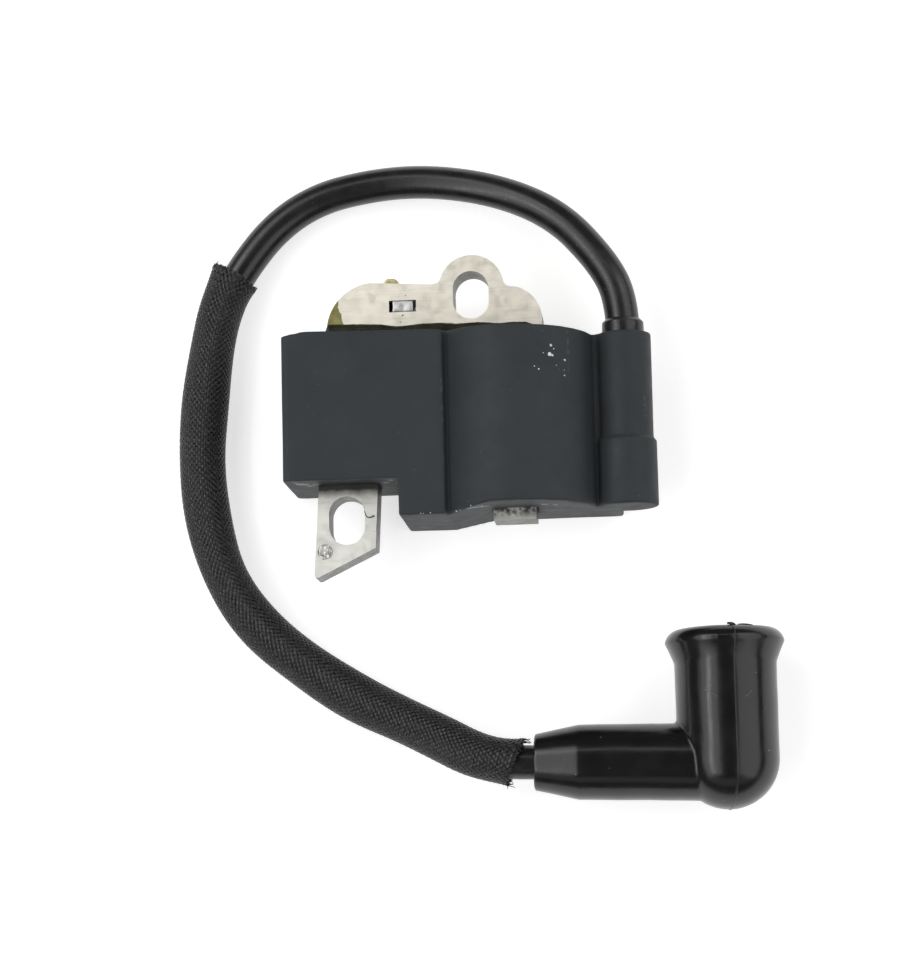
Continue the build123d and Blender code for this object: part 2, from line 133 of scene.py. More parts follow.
def mesh_piece(name, vertices, faces):
    """A smooth mesh object from lists of corners and faces."""
    data = bpy.data.meshes.new(name)
    data.from_pydata([tuple(v) for v in vertices], [], [tuple(f) for f in faces])
    shade_smooth(data)
    return link(name, data)


def apply_modifiers(piece):
    """Replace a piece's mesh by the one that its modifiers make."""
    graph = bpy.context.evaluated_depsgraph_get()
    mesh = bpy.data.meshes.new_from_object(piece.evaluated_get(graph))
    piece.modifiers.clear()
    piece.data = mesh
    shade_smooth(mesh)
    return piece


def moulded(name, sources, voxel, rounds):
    """The sources' meshes welded into one skin of even quads, with softened edges."""
    joined = bmesh.new()
    for source in sources:
        joined.from_mesh(source)
    data = bpy.data.meshes.new(name)
    joined.to_mesh(data)
    joined.free()
    piece = link(name, data)
    remesh = piece.modifiers.new("remesh", "REMESH")
    remesh.mode = "VOXEL"
    remesh.voxel_size = voxel
    smooth = piece.modifiers.new("smooth", "SMOOTH")
    smooth.factor = 0.5
    smooth.iterations = rounds
    return apply_modifiers(piece)


def node_mesh(name):
    """The mesh of a CAD node, which is only read."""
    return frame["nodes"][name].data


def uneven(piece, depth, size, seed=0.0):
    """Move each corner along its normal by soft noise, as moulding and handling leave a surface."""
    corners = piece.data.vertices
    places = np.zeros(len(corners) * 3)
    normals = np.zeros(len(corners) * 3)
    corners.foreach_get("co", places)
    corners.foreach_get("normal", normals)
    offset = Vector((seed, seed * 2, seed * 3))
    moves = [depth * noise.noise(Vector(place) / size + offset) for place in places.reshape(-1, 3)]
    corners.foreach_set("co", places + normals * np.repeat(moves, 3))
    piece.data.update()


def nurbs(name, points, radius):
    """A round cord on one smooth spline with these control points."""
    data = bpy.data.curves.new(name, "CURVE")
    data.dimensions = "3D"
    data.resolution_u = 24
    spline = data.splines.new("NURBS")
    spline.points.add(len(points) - 1)
    for slot, point in zip(spline.points, points):
        slot.co = (*point, 1)
    spline.order_u = 3
    spline.use_endpoint_u = True
    data.bevel_depth = radius
    data.bevel_resolution = 10
    data.use_fill_caps = True
    return link(name, data)


def threads(name, lines, radius):
    """Many thin wires in one curve object. Each line is a list of points, and it tapers to its end."""
    data = bpy.data.curves.new(name, "CURVE")
    data.dimensions = "3D"
    data.resolution_u = 6
    data.bevel_depth = radius
    data.bevel_resolution = 2
    data.use_fill_caps = True
    for line in lines:
        spline = data.splines.new("NURBS")
        spline.points.add(len(line) - 1)
        for i, (slot, point) in enumerate(zip(spline.points, line)):
            slot.co = (*point, 1)
            slot.radius = 1 - 0.6 * i / (len(line) - 1)
        spline.order_u = 3
        spline.use_endpoint_u = True
    return link(name, data)


# ---- helpers: a line to follow ------------------------------------------------------------------
def line_of(curve):
    """The points of a curve's own line, with their distances along it and frames that don't twist."""
    bare = curve.copy()
    bare.data = curve.data.copy()
    bare.data.bevel_depth = 0
    mesh = bpy.data.meshes.new_from_object(bare)
    points = np.array([v.co for v in mesh.vertices])
    bpy.data.objects.remove(bare)
    steps = np.linalg.norm(np.diff(points, axis=0), axis=1)
    keep = np.concatenate([[True], steps > 1e-7])
    points = points[keep]
    steps = np.linalg.norm(np.diff(points, axis=0), axis=1)
    distance = np.concatenate([[0.0], np.cumsum(steps)])
    along = np.gradient(points, axis=0)
    along /= np.linalg.norm(along, axis=1)[:, None]
    side = np.zeros_like(points)
    side[0] = np.cross(along[0], (0, 0, 1))
    for i in range(1, len(points)):
        side[i] = side[i - 1] - along[i] * np.dot(side[i - 1], along[i])
        side[i] /= np.linalg.norm(side[i])
    side[0] /= np.linalg.norm(side[0])
    return {"at": distance, "point": points, "along": along, "side": side}


def on_line(line, at):
    """The point, direction, side and upper side of a line at each of these distances."""
    place = [np.stack([np.interp(at, line["at"], line[key][:, i]) for i in range(3)], -1)
             for key in ("point", "along", "side")]
    place[1] /= np.linalg.norm(place[1], axis=-1, keepdims=True)
    place[2] /= np.linalg.norm(place[2], axis=-1, keepdims=True)
    return (*place, np.cross(place[1], place[2]))


# ---- helpers: materials -------------------------------------------------------------------------
class Look:
    """A principled material under construction. Its textures are in the part's own metres."""

    def __init__(self, name, roughness, metallic=0.0, **sockets):
        self.material = bpy.data.materials.new(name)
        self.material.use_nodes = True
        self.tree = self.material.node_tree
        self.shader = self.tree.nodes["Principled BSDF"]
        self.shader.inputs["Roughness"].default_value = roughness
        self.shader.inputs["Metallic"].default_value = metallic
        for socket, value in sockets.items():
            self.shader.inputs[socket.replace("_", " ")].default_value = value
        self.place = self.tree.nodes.new("ShaderNodeTexCoord").outputs["Object"]
        self.height = None

    def add(self, kind, **values):
        node = self.tree.nodes.new(kind)
        for key, value in values.items():
            setattr(node, key, value)
        return node

    def join(self, output, target):
        self.tree.links.new(output, target)

    def stretched(self, scale, turn=(0, 0, 0)):
        """Coordinates stretched by a scale on each axis."""
        mapping = self.add("ShaderNodeMapping")
        mapping.inputs["Scale"].default_value = scale
        mapping.inputs["Rotation"].default_value = turn
        self.join(self.place, mapping.inputs["Vector"])
        return mapping.outputs["Vector"]

    def noise(self, size, detail=4.0, vector=None, rough=0.5):
        """Noise whose patches are about this size, from 0 to 1."""
        node = self.add("ShaderNodeTexNoise")
        node.inputs["Scale"].default_value = 1 / size
        node.inputs["Detail"].default_value = detail
        node.inputs["Roughness"].default_value = rough
        self.join(vector or self.place, node.inputs["Vector"])
        return node.outputs["Fac"]

    def cells(self, size, vector=None):
        """Distance to scattered points about this far apart, in units of that size."""
        node = self.add("ShaderNodeTexVoronoi")
        node.inputs["Scale"].default_value = 1 / size
        self.join(vector or self.place, node.inputs["Vector"])
        return node.outputs["Distance"]

    def map(self, value, low, high, to_low=0.0, to_high=1.0):
        """A value rescaled from one range to another, and held inside it."""
        node = self.add("ShaderNodeMapRange")
        ends = {"From Min": low, "From Max": high, "To Min": to_low, "To Max": to_high}
        for socket, number in ends.items():
            node.inputs[socket].default_value = number
        self.join(value, node.inputs["Value"])
        return node.outputs["Result"]

    def times(self, a, b):
        node = self.add("ShaderNodeMath", operation="MULTIPLY")
        self.join(a, node.inputs[0])
        self.join(b, node.inputs[1])
        return node.outputs[0]

    def colour(self, value, *stops):
        """A colour for each value. Each stop is (value, (red, green, blue))."""
        node = self.add("ShaderNodeValToRGB")
        while len(node.color_ramp.elements) < len(stops):
            node.color_ramp.elements.new(0.5)
        for element, (at, rgb) in zip(node.color_ramp.elements, stops):
            element.position = at
            element.color = (*rgb, 1)
        self.join(value, node.inputs["Fac"])
        return node.outputs["Color"]

    def over(self, amount, under, rgb):
        """A plain colour laid over another by an amount that varies."""
        node = self.add("ShaderNodeMix", data_type="RGBA")
        self.join(amount, node.inputs["Factor"])
        self.join(under, node.inputs["A"])
        node.inputs["B"].default_value = (*rgb, 1)
        return node.outputs["Result"]

    def set(self, socket, output):
        self.join(output, self.shader.inputs[socket])
        return self

    def bump(self, height, depth, strength=1.0):
        """Raise the surface by a height that varies, on top of any earlier bump."""
        node = self.add("ShaderNodeBump")
        node.inputs["Distance"].default_value = depth
        node.inputs["Strength"].default_value = strength
        self.join(height, node.inputs["Height"])
        if self.height is not None:
            self.join(self.height, node.inputs["Normal"])
        self.height = node.outputs["Normal"]
        self.join(self.height, self.shader.inputs["Normal"])
        return self

    def axis(self, letter, source=None):
        """One coordinate of the place, or of another vector."""
        node = self.add("ShaderNodeSeparateXYZ")
        self.join(source or self.place, node.inputs[0])
        return node.outputs[letter]

    def facing(self, letter):
        """How squarely the surface faces along an axis of the part, either way, from 0 to 1."""
        normal = self.add("ShaderNodeTexCoord").outputs["Normal"]
        node = self.add("ShaderNodeMath", operation="ABSOLUTE")
        self.join(self.axis(letter, normal), node.inputs[0])
        return node.outputs[0]

    def plus(self, a, b):
        node = self.add("ShaderNodeMath", operation="ADD")
        self.join(a, node.inputs[0])
        self.join(b, node.inputs[1])
        return node.outputs[0]

    def blend(self, amount, under, above):
        """One varying colour laid over another."""
        node = self.add("ShaderNodeMix", data_type="RGBA")
        self.join(amount, node.inputs["Factor"])
        self.join(under, node.inputs["A"])
        self.join(above, node.inputs["B"])
        return node.outputs["Result"]

    def edges(self):
        """How sharply the surface turns outwards: above 0.5 on edges, and below it in corners."""
        return self.add("ShaderNodeNewGeometry").outputs["Pointiness"]


def case_look():
    look = Look("case_plastic", 0.5, Specular_IOR_Level=0.26)
    patches = look.noise(9 * MM, 5)
    colour = look.colour(patches, (0.3, (0.026, 0.030, 0.033)), (0.7, (0.032, 0.037, 0.041)))
    worn = look.times(look.map(look.edges(), 0.58, 0.68), look.map(look.noise(0.8 * MM), 0.45, 0.65))
    colour = look.over(look.map(worn, 0, 1, 0, 0.22), colour, (0.16, 0.17, 0.18))
    dust = look.map(look.cells(1.9 * MM), 0.05, 0.02)
    colour = look.over(look.map(dust, 0, 1, 0, 0.4), colour, (0.22, 0.24, 0.24))
    look.set("Base Color", colour)
    look.set("Roughness", look.map(look.noise(2.5 * MM, 6), 0.3, 0.7, 0.52, 0.66))
    look.bump(look.noise(0.10 * MM, 3), 0.02 * MM, 0.35)
    look.bump(look.noise(0.5 * MM, 2, look.stretched((1, 0.12, 1))), 0.02 * MM, 0.25)
    return look.material


def core_look():
    """Stamped steel: warm on the yoke and silver on the legs, scratched and pitted, with painted shade on
    the faces that turn away from the front.

    Olive resin covers the yoke's left end. The left leg carries near-black painted shade where it leaves
    the case, and the centre leg's tab is darker towards the case, in noisy patches.
    """
    look = Look("core_steel", 0.40, metallic=0.85)
    patches = look.noise(6 * MM, 6)
    warm = look.colour(patches, (0.25, (0.86, 0.81, 0.69)), (0.75, (0.97, 0.93, 0.81)))
    silver = look.colour(patches, (0.25, (0.72, 0.71, 0.66)), (0.75, (0.90, 0.89, 0.83)))
    colour = look.blend(look.map(look.axis("Y"), -4 * MM, 8 * MM), silver, warm)
    along = look.stretched((0.06, 1.6, 1), (0, 0, 0.6))
    scratch = look.map(look.noise(0.5 * MM, 6, along, 0.7), 0.54, 0.70)
    colour = look.over(look.map(scratch, 0, 1, 0, 0.35), colour, (0.40, 0.38, 0.34))
    across = look.stretched((1.8, 0.08, 1), (0, 0, 0.5))
    cross = look.map(look.noise(0.4 * MM, 6, across, 0.7), 0.56, 0.70)
    colour = look.over(look.map(cross, 0, 1, 0, 0.30), colour, (0.95, 0.93, 0.88))
    pits = look.map(look.cells(2.3 * MM), 0.06, 0.03)
    colour = look.over(look.map(pits, 0, 1, 0, 0.7), colour, (0.15, 0.14, 0.12))
    bend = look.map(look.axis("Y"), 13 * MM, 17.2 * MM, -18.15 * MM, -19.3 * MM)
    ragged = look.plus(bend, look.map(look.noise(1.3 * MM, 4), 0.3, 0.7, -0.35 * MM, 0.35 * MM))
    behind = look.add("ShaderNodeMath", operation="LESS_THAN")
    look.join(look.axis("X"), behind.inputs[0])
    look.join(ragged, behind.inputs[1])
    film = look.times(behind.outputs[0], look.map(look.axis("Y"), 12.9 * MM, 13.1 * MM))
    resin = look.colour(look.noise(1.1 * MM, 6), (0.3, (0.21, 0.20, 0.07)), (0.7, (0.34, 0.32, 0.14)))
    colour = look.blend(film, colour, resin)
    # Painted shade: the left leg turns near black where it leaves the case's underside, along a ragged
    # edge.
    ragged = look.plus(look.axis("Y"), look.map(look.noise(1.6 * MM, 4), 0.3, 0.7, -0.2 * MM, 0.2 * MM))
    below_yoke = look.map(look.axis("Y"), 5 * MM, 4 * MM)
    painted_leg_shade = look.times(look.map(ragged, -12.2 * MM, -10.7 * MM), below_yoke)
    painted_leg_shade = look.times(painted_leg_shade, look.map(look.axis("X"), -11 * MM, -12 * MM))
    colour = look.over(look.map(painted_leg_shade, 0, 1, 0, 0.93), colour, (0.020, 0.020, 0.016))
    # The centre leg's tab is darker towards the case, in noisy patches, down to near black.
    dark_near_case = look.times(look.map(look.axis("Y"), -15.9 * MM, -14.9 * MM), below_yoke)
    dark_near_case = look.times(dark_near_case, look.map(look.noise(0.7 * MM, 5), 0.36, 0.58))
    dark_near_case = look.times(dark_near_case, look.map(look.axis("X"), 0, 1 * MM))
    colour = look.over(look.map(dark_near_case, 0, 1, 0, 0.9), colour, (0.045, 0.050, 0.050))
    # Painted shade: faces that turn away from the front, such as slot walls and the laminations' edges,
    # are darkened almost to black.
    painted_side_shade = look.map(look.facing("Z"), 0.75, 0.45)
    look.set("Base Color", look.over(look.map(painted_side_shade, 0, 1, 0, 0.93), colour, (0.085, 0.088, 0.085)))
    look.set("Roughness", look.map(look.noise(1.2 * MM, 6), 0.3, 0.7, 0.34, 0.50))
    look.bump(look.noise(0.12 * MM, 5, look.stretched((0.25, 1, 1))), 0.012 * MM, 0.5)
    look.bump(scratch, -0.008 * MM, 0.6)
    return look.material


def resin_look(name, dark, light, roughness=0.22):
    look = Look(name, roughness, Specular_IOR_Level=0.55)
    look.set("Base Color", look.colour(look.noise(2.2 * MM, 6), (0.3, dark), (0.72, light)))
    look.bump(look.noise(0.9 * MM, 3), 0.08 * MM, 0.5)
    look.bump(look.cells(0.5 * MM), 0.02 * MM, 0.2)
    return look.material


def rubber_look(name, base, roughness, dust):
    """Smooth black rubber with a little bloom and specks of dust."""
    look = Look(name, roughness, Specular_IOR_Level=0.5)
    dark = tuple(0.75 * c for c in base)
    colour = look.colour(look.noise(6 * MM, 4), (0.35, dark), (0.7, base))
    dots = look.map(look.cells(1.4 * MM), 0.085, 0.05)
    specks = look.times(dots, look.map(look.noise(5 * MM), 0.47, 0.57))
    colour = look.over(look.map(specks, 0, 1, 0, dust), colour, (0.34, 0.38, 0.38))
    look.set("Base Color", colour)
    look.set("Roughness", look.map(look.noise(3 * MM, 6), 0.3, 0.7, roughness * 0.8, roughness * 1.25))
    look.bump(look.noise(1.4 * MM, 3), 0.03 * MM, 0.35)
    look.bump(look.noise(0.08 * MM, 2), 0.006 * MM, 0.4)
    return look.material


def fibre_look():
    """Black filament yarn. Single crossings catch the light differently."""
    look = Look("sleeve_fibre", 0.36, Specular_IOR_Level=0.45)
    glints = look.map(look.noise(0.45 * MM, 2), 0.52, 0.68)
    colour = look.colour(glints, (0.0, (0.0022, 0.0025, 0.0026)), (1.0, (0.026, 0.028, 0.027)))
    lint = look.times(look.map(look.cells(2.6 * MM), 0.07, 0.03), look.map(look.noise(9 * MM), 0.5, 0.6))
    look.set("Base Color", look.over(look.map(lint, 0, 1, 0, 0.5), colour, (0.36, 0.36, 0.30)))
    look.set("Roughness", look.map(look.noise(0.5 * MM, 4), 0.35, 0.65, 0.24, 0.52))
    look.bump(look.noise(0.07 * MM, 3), 0.02 * MM, 0.5)
    return look.material


def mottled(name, dark, light, size, roughness, metallic=0.0, grain=0.02 * MM, stretch=(1, 1, 1)):
    """A material with two mixed tones and a grain, stretched along the way that it was made."""
    look = Look(name, roughness, metallic)
    texture = look.noise(size, 6, look.stretched(stretch))
    look.set("Base Color", look.colour(texture, (0.3, dark), (0.7, light)))
    look.set("Roughness", look.map(texture, 0.3, 0.7, roughness * 0.8, roughness * 1.2))
    look.bump(texture, grain, 0.5)
    return look.material


LOOKS = {
    "case_plastic": case_look(),
    "core_steel": core_look(),
    "resin": resin_look("resin_dark", (0.010, 0.011, 0.006), (0.030, 0.031, 0.014)),
    "smear": resin_look("resin_smear", (0.050, 0.055, 0.058), (0.17, 0.18, 0.19), 0.45),
    "lead_rubber": rubber_look("lead_rubber", (0.0095, 0.0100, 0.0100), 0.27, 0.2),
    "boot_rubber": rubber_look("boot_rubber", (0.0050, 0.0050, 0.0052), 0.21, 0.8),
    "sleeve_weave": fibre_look(),
    "brass": mottled("brass", (0.60, 0.51, 0.25), (0.80, 0.72, 0.42), 0.8 * MM, 0.38, 1.0),
    "copper": mottled("copper", (0.42, 0.15, 0.06), (0.66, 0.28, 0.13), 0.3 * MM, 0.3, 1.0,
                      stretch=(1, 6, 1)),
    "bobbin_plastic": mottled("bobbin_plastic", (0.55, 0.50, 0.38), (0.66, 0.62, 0.50), 3 * MM, 0.5),
    "tape": mottled("tape", (0.45, 0.30, 0.05), (0.62, 0.44, 0.10), 1.5 * MM, 0.25, stretch=(1, 0.2, 1)),
    "board": mottled("board", (0.02, 0.12, 0.05), (0.03, 0.18, 0.08), 0.6 * MM, 0.35, stretch=(1, 1, 0.1)),
    "capacitor_case": mottled("capacitor_case", (0.26, 0.05, 0.02), (0.36, 0.09, 0.03), 2 * MM, 0.25),
    "component_body": mottled("component_body", (0.02, 0.02, 0.02), (0.05, 0.05, 0.05), 0.4 * MM, 0.55),
    "spring_steel": mottled("spring_steel", (0.40, 0.40, 0.40), (0.60, 0.59, 0.57), 0.5 * MM, 0.28, 1.0),
    "paint": mottled("white_specks", (0.42, 0.52, 0.53), (0.75, 0.80, 0.80), 0.3 * MM, 0.6),
    "key_steel": mottled("key_steel", (0.50, 0.50, 0.49), (0.74, 0.74, 0.73), 0.8 * MM, 0.45, 0.85,
                         0.04 * MM),
    "stake_steel": mottled("stake_steel", (0.22, 0.22, 0.21), (0.72, 0.71, 0.68), 0.5 * MM, 0.4, 0.85,
                           0.08 * MM),
    "scratch": mottled("scratch", (0.05, 0.055, 0.055), (0.16, 0.17, 0.17), 0.2 * MM, 0.5),
}


# ---- high tension lead --------------------------------------------------------------------------
def make_lead():
    lead = nurbs("lead", ROUTE + [LEAD_END], LEAD_R)
    finished(lead, "coil", "lead_rubber", LOOKS["lead_rubber"], "ht_lead_jacket")
    core = nurbs("lead_core", ROUTE + [LEAD_END], CONDUCTOR_R)
    finished(core, "coil", "copper", LOOKS["copper"], "ht_lead_conductor")
    return lead, core


# ---- sleeve -------------------------------------------------------------------------------------
def sleeve_surface(line, at, turn, lift=0.0):
    """Points of the sleeve's skin at distances along it and turns round it, and their normals.

    The sleeve is a little loose: it swells and narrows, hangs outwards where it starts, opens at its
    cut ends, and its cuts lean.
    """
    from_start = (at - SLEEVE_START) / (4 * MM)
    from_end = (SLEEVE_END - at) / (5 * MM)
    near_start = np.clip(1 - from_start, 0, 1) ** 2
    near_end = np.clip(1 - from_end, 0, 1) ** 2
    drift = np.clip(1 - (at - SLEEVE_START) / (15 * MM), 0, 1) ** 2
    at = at - 1.1 * MM * near_end * np.cos(turn)
    at = at + 0.35 * MM * near_start * np.sin(turn)
    point, along, side, up = on_line(line, at)
    loose = 0.10 * np.sin(at / (7.3 * MM)) + 0.07 * np.sin(at / (2.9 * MM) + 2 * turn)
    radius = SLEEVE_R + loose * MM + lift
    radius = radius + near_start * 0.40 * MM + near_end * 0.18 * MM
    normal = side * np.cos(turn)[..., None] + up * np.sin(turn)[..., None]
    spot = point + normal * radius[..., None] + side * (0.6 * MM * drift)[..., None]
    spot[..., 2] = np.maximum(spot[..., 2], 0.06 * MM)
    return spot, normal


def braid(line):
    """Two families of flat strands, each over and under the other family's in turn."""
    crossings = int((SLEEVE_END - SLEEVE_START) / (BRAID_PITCH / (2 * STRANDS)))
    at = np.linspace(SLEEVE_START, SLEEVE_END, crossings * SAMPLES_PER_CROSSING)
    across = np.array([-1.0, -0.45, 0.45, 1.0])
    vertices = []
    faces = []
    for hand in (1, -1):
        wave = hand * np.cos(2 * math.pi * STRANDS * (at - SLEEVE_START) / BRAID_PITCH)
        for k in range(STRANDS):
            turn = 2 * math.pi * (k / STRANDS + hand * (at - SLEEVE_START) / BRAID_PITCH)
            spot, normal = sleeve_surface(line, at, turn, lift=wave * WEAVE_DEPTH)
            forward = np.gradient(spot, axis=0)
            forward /= np.linalg.norm(forward, axis=1)[:, None]
            sideways = np.cross(forward, normal)
            first = len(vertices)
            for i in range(len(at)):
                for a in across:
                    drop = STRAND_ARCH * a * a
                    vertices.append(spot[i] + sideways[i] * (a * STRAND_WIDTH / 2) - normal[i] * drop)
            for i in range(len(at) - 1):
                for j in range(3):
                    corner = first + 4 * i + j
                    faces.append((corner, corner + 1, corner + 5, corner + 4))
    return mesh_piece("sleeve_braid", vertices, faces)


def sleeve_lining(line):
    """The dark inside of the braid, a closed tube just under its strands."""
    sides = 64
    rings = 260
    at = np.linspace(SLEEVE_START, SLEEVE_END, rings)
    turn = np.linspace(0, 2 * math.pi, sides, endpoint=False)
    at_grid, turn_grid = np.meshgrid(at, turn, indexing="ij")
    vertices = []
    faces = []
    for lift in (-0.22 * MM, -0.42 * MM):
        spot, _ = sleeve_surface(line, at_grid, turn_grid, lift=np.full_like(at_grid, lift))
        vertices.extend(spot.reshape(-1, 3))
    layer = rings * sides
    for i in range(rings - 1):
        for j in range(sides):
            n = (j + 1) % sides
            a, b, c, d = i * sides + j, i * sides + n, (i + 1) * sides + n, (i + 1) * sides + j
            faces.append((a, b, c, d))
            faces.append((layer + d, layer + c, layer + b, layer + a))
    for i in (0, rings - 1):
        for j in range(sides):
            n = (j + 1) % sides
            ring = (i * sides + j, layer + i * sides + j, layer + i * sides + n, i * sides + n)
            faces.append(ring if i == 0 else ring[::-1])
    return mesh_piece("sleeve_lining", vertices, faces)


def frayed_ends(line):
    """Short tufts of filament at both cuts of the sleeve, and a rim round the cut at the boot's end."""
    rng = random.Random(7)
    hairs = []
    for end, outward, count in ((SLEEVE_START, -1, 28), (SLEEVE_END, 1, 52)):
        for _ in range(count):
            turn = rng.uniform(0, 2 * math.pi)
            reach = rng.uniform(0.2, 0.65) * MM
            if outward > 0 and abs(math.cos(turn)) > 0.8:
                reach *= 1.9
            spot, normal = sleeve_surface(line, np.array([end]), np.array([turn]), np.array([-0.05 * MM]))
            _, along, _, _ = on_line(line, np.array([end]))
            start = Vector(spot[0])
            way = Vector(along[0]) * outward
            bend = Vector((rng.gauss(0, 1), rng.gauss(0, 1), rng.gauss(0, 1))) * 0.35
            middle = start + (way + bend * 0.4 + Vector(normal[0]) * rng.uniform(-0.5, 0.3)) * reach * 0.5
            tip = middle + (way * 0.6 + bend) * reach * 0.6
            line_points = [start - way * 0.5 * MM, start, middle, tip]
            for point in line_points:
                point.z = max(point.z, 0.1 * MM)
            hairs.append(line_points)
    turns = np.linspace(0, 2 * math.pi, 49)
    cut = np.full_like(turns, SLEEVE_END - 0.1 * MM)
    rim, _ = sleeve_surface(line, cut, turns, np.full_like(turns, 0.05 * MM))
    hairs.append([Vector(point) for point in rim])
    return threads("sleeve_fray", hairs, 0.10 * MM)


def make_sleeve(line):
    woven = finished(braid(line), "coil", "sleeve_weave", LOOKS["sleeve_weave"], "protective_sleeve")
    lining = finished(sleeve_lining(line), "coil", "sleeve_weave", LOOKS["sleeve_weave"])
    fray = finished(frayed_ends(line), "coil", "sleeve_weave", LOOKS["sleeve_weave"])
    return [woven, lining, fray]


# ---- boot ---------------------------------------------------------------------------------------
def make_boot():
    boot = moulded("boot", [node_mesh("boot_shell")], 0.20 * MM, 7)
    uneven(boot, 0.05 * MM, 5 * MM)
    return finished(boot, "boot", "boot_rubber", LOOKS["boot_rubber"], "boot_shell")


def seam_points(boot, side):
    """The mould's parting line on the barrel, from inside the lip to the bottom of the dome."""
    skin = BVHTree.FromObject(boot, bpy.context.evaluated_depsgraph_get())
    out = Vector((side * math.sin(SEAM_ANGLE), 0, side * math.cos(SEAM_ANGLE)))
    along = Vector((0, 1, 0))
    lip = ELBOW + along * (MOUTH - LIP_BELOW_MOUTH) + out * (LIP_R - 2.2 * MM)
    rays = []
    for i in range(13):
        lean = math.radians(105 - 105 * i / 12)
        rays.append((lip, out * math.cos(lean) + along * math.sin(lean)))
    for i in range(1, 30):
        rays.append((ELBOW + along * (MOUTH - LIP_BELOW_MOUTH) * (1 - i / 30), out))
    for i in range(19):
        lean = math.radians(-88 * i / 18)
        rays.append((ELBOW, out * math.cos(lean) + along * math.sin(lean)))
    found = []
    for centre, way in rays:
        spot, _, _, _ = skin.ray_cast(centre + way * 12 * MM, -way)
        if spot is not None:
            found.append(spot - way * 0.07 * MM)
    return found


def make_boot_details(boot):
    """The raised parting line, the flash left at its ends, and two scratches on the barrel."""
    front = seam_points(boot, 1)
    back = seam_points(boot, -1)
    seam = threads("boot_seam", [front, back], 0.17 * MM)
    for spline in seam.data.splines:
        for i, point in enumerate(spline.points):
            point.radius = 1 + 0.25 * noise.noise(Vector((i * 0.6, 0, 0)))
    finished(seam, "boot", "boot_rubber", LOOKS["boot_rubber"])

    top = front[3]
    bottom = front[-1]
    nubs = [
        [top + Vector((0.25, -0.1, 0)) * MM, top + Vector((0.0, 0.35, 0.1)) * MM,
         top + Vector((-0.75, 0.30, 0.0)) * MM],
        [top + Vector((0.8, -0.1, -0.6)) * MM, top + Vector((1.8, 0.15, -0.7)) * MM,
         top + Vector((2.9, -0.05, -0.9)) * MM],
        [bottom + Vector((0.1, 0.9, 0.5)) * MM, bottom + Vector((0, 0.2, 0.1)) * MM,
         bottom + Vector((-0.75, 0.12, 0)) * MM],
    ]
    flash = threads("boot_flash", nubs, 0.34 * MM)
    finished(flash, "boot", "boot_rubber", LOOKS["boot_rubber"])

    skin = BVHTree.FromObject(boot, bpy.context.evaluated_depsgraph_get())
    marks = [[skin.ray_cast(Vector((x, y, 50)) * MM, Vector((0, 0, -1)))[0] for x, y in mark]
             for mark in BOOT_SCRATCHES]
    scratches = threads("boot_scratches", marks, 0.07 * MM)
    finished(scratches, "boot", "boot_rubber", LOOKS["scratch"])


# ---- case ---------------------------------------------------------------------------------------
def make_case():
    case = moulded("case", [node_mesh("case_shell")], 0.25 * MM, 5)
    uneven(case, 0.05 * MM, 8 * MM)
    return finished(case, "coil", "case_plastic", LOOKS["case_plastic"], "case_shell")


def make_grommet():
    grommet = moulded("grommet", [node_mesh("lead_grommet")], 0.12 * MM, 3)
    uneven(grommet, 0.05 * MM, 1.5 * MM)
    return finished(grommet, "coil", "lead_rubber", LOOKS["lead_rubber"], "lead_grommet")


def make_terminal():
    terminal = moulded("terminal", [node_mesh("stop_terminal")], 0.12 * MM, 6)
    return finished(terminal, "coil", "brass", LOOKS["brass"], "stop_terminal")


def blobs(name, spots, skin, way, seed):
    """Flat, ragged drops on a surface, thrown at it along way. Each spot is a place and a width."""
    rng = random.Random(seed)
    vertices = []
    faces = []
    rings = (1.0, 0.8, 0.45)
    sides = 14
    for *place, width in spots:
        spot, normal, _, _ = skin.ray_cast(Vector(place) * MM - way * 0.1, way)
        if spot is None:
            continue
        across = normal.orthogonal().normalized()
        other = normal.cross(across)
        wobble = [rng.uniform(0.6, 1.2) for _ in range(sides)]
        first = len(vertices)
        height = 0.06 * MM + 0.03 * width * MM
        for ring in rings:
            for k in range(sides):
                a = 2 * math.pi * k / sides
                r = ring * width * MM / 2 * (wobble[k] + wobble[k - 1]) / 2
                lift = height * (1 - ring**2) - 0.03 * MM
                vertices.append(spot + (across * math.cos(a) + other * math.sin(a)) * r + normal * lift)
        vertices.append(spot + normal * height)
        for j in range(len(rings) - 1):
            for k in range(sides):
                a, b = first + j * sides + k, first + j * sides + (k + 1) % sides
                faces.append((a, b, b + sides, a + sides))
        last = first + (len(rings) - 1) * sides
        for k in range(sides):
            faces.append((last + k, last + (k + 1) % sides, len(vertices) - 1))
        faces.append(tuple(first + k for k in reversed(range(sides))))
    return mesh_piece(name, vertices, faces)


PAINT_SPOTS = [
    (12.5, 8.3, 0, 0.55),
    (12.9, 7.8, 0, 0.25),
    (11.4, 7.1, 0, 0.2),
    (12.3, 7.0, 0, 0.75),
    (12.7, 6.8, 0, 0.45),
    (14.4, 6.3, 0, 0.45),
    (13.2, 5.4, 0, 0.25),
    (14.3, 4.8, 0, 0.2),
    (14.3, 4.0, 0, 0.35),
    (10.1, 5.1, 0, 0.25),
    (10.7, 4.7, 0, 0.35),
    (-7.1, -15.45, 0, 0.22),
    (-6.7, -15.45, 0, 0.15),
    (-5.7, -15.4, 0, 0.2),
    (-1.9, -15.25, 0, 0.35),
    (-1.4, -15.15, 0, 0.2),
    (0.3, -14.75, 0, 0.25),
]
UNDERSIDE_SMEARS = [
    (-24.9, 0, 14.6, 2.4),
    (-23.7, 0, 12.9, 1.8),
    (-22.6, 0, 14.3, 1.5),
    (-25.6, 0, 16.2, 1.2),
    (-12.7, 0, 13.4, 1.7),
    (-11.6, 0, 15.6, 1.1),
    (0.2, 0, 18.0, 1.5),
    (1.3, 0, 17.4, 2.0),
    (2.2, 0, 16.6, 1.5),
    (10.8, 0, 15.4, 1.4),
    (12.2, 0, 14.6, 1.1),
]


